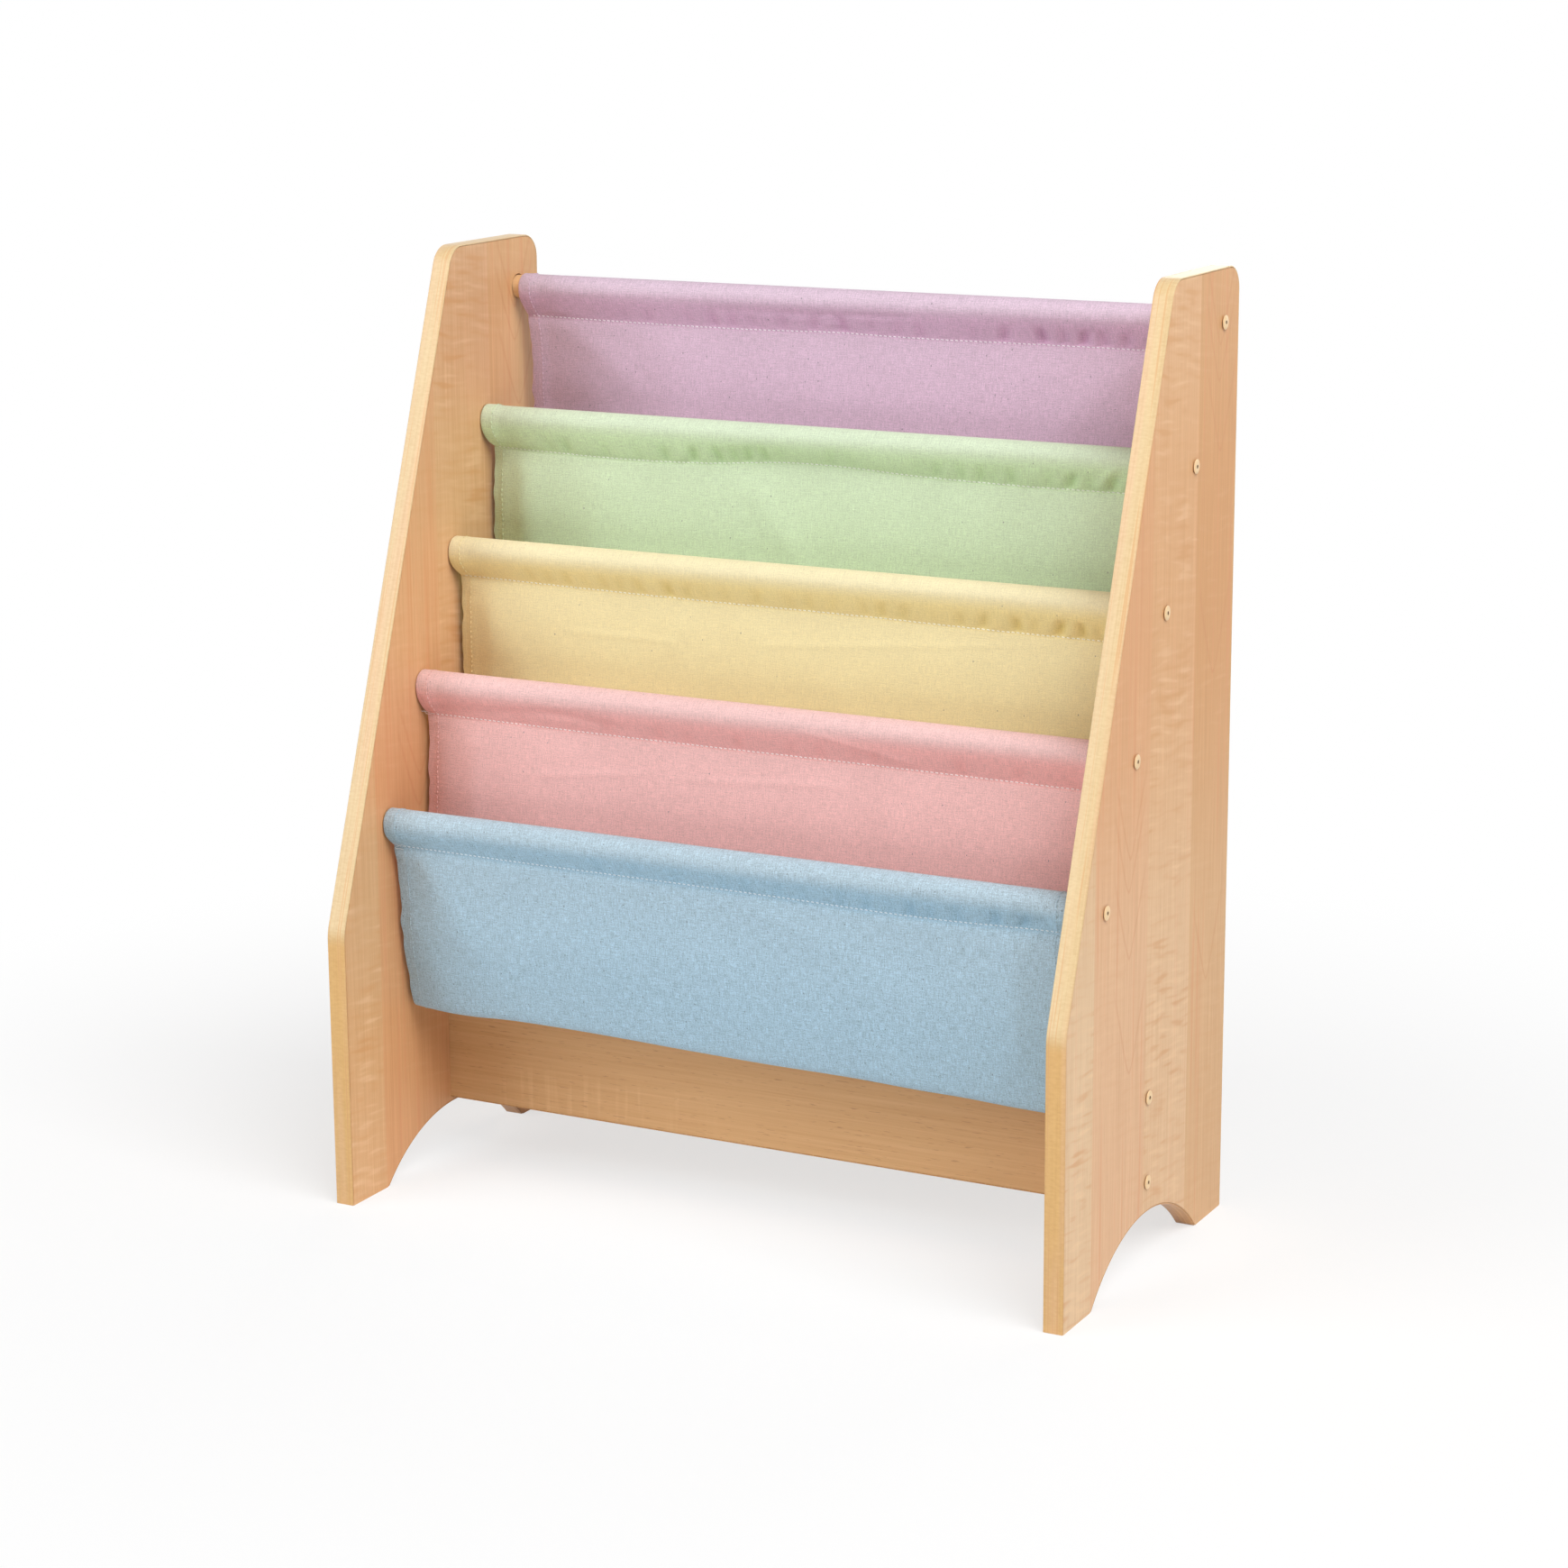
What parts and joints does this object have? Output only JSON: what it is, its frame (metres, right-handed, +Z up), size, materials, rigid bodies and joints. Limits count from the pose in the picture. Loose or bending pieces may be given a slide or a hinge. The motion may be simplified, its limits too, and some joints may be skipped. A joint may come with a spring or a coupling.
{
  "type": "sling bookshelf",
  "caption": "Low children's bookshelf with canvas slings hung on wooden rods between two slanted side panels with arched feet, tied by a board near the floor.",
  "frame": {"origin": "on the floor, at the middle of the shelf's footprint", "axes": "+Z up, the shelf's front faces -Y, +X towards the right for someone facing the front"},
  "size_m": [0.6048, 0.298, 0.711],
  "materials": {
    "laminate": "satin laminate with a fine upright grain",
    "edge_band": "satin, pale, grain along the edge",
    "rod_wood": "bare smooth wood",
    "lilac_canvas": "plain-weave canvas, matte",
    "green_canvas": "plain-weave canvas, matte",
    "yellow_canvas": "plain-weave canvas, matte",
    "pink_canvas": "plain-weave canvas, matte",
    "blue_canvas": "plain-weave canvas, matte",
    "screw_paint": "cream paint"
  },
  "bodies": {
    "root": {"side_panel_left": "laminate", "side_panel_right": "laminate", "edge_band_left": "edge_band", "edge_band_right": "edge_band", "arch_band_left": "edge_band", "arch_band_right": "edge_band", "stretcher": "laminate", "stretcher_band_lower": "edge_band", "stretcher_band_upper": "edge_band", "rod_1": "rod_wood", "rod_2": "rod_wood", "rod_3": "rod_wood", "rod_4": "rod_wood", "rod_5": "rod_wood", "sling_lilac": "lilac_canvas", "sling_green": "green_canvas", "sling_yellow": "yellow_canvas", "sling_pink": "pink_canvas", "sling_blue": "blue_canvas", "rod_screw_left_1": "screw_paint", "rod_screw_left_2": "screw_paint", "rod_screw_left_3": "screw_paint", "rod_screw_left_4": "screw_paint", "rod_screw_left_5": "screw_paint", "rod_screw_right_1": "screw_paint", "rod_screw_right_2": "screw_paint", "rod_screw_right_3": "screw_paint", "rod_screw_right_4": "screw_paint", "rod_screw_right_5": "screw_paint", "stretcher_screw_left_upper": "screw_paint", "stretcher_screw_left_lower": "screw_paint", "stretcher_screw_right_upper": "screw_paint", "stretcher_screw_right_lower": "screw_paint"}
  },
  "joints": []
}
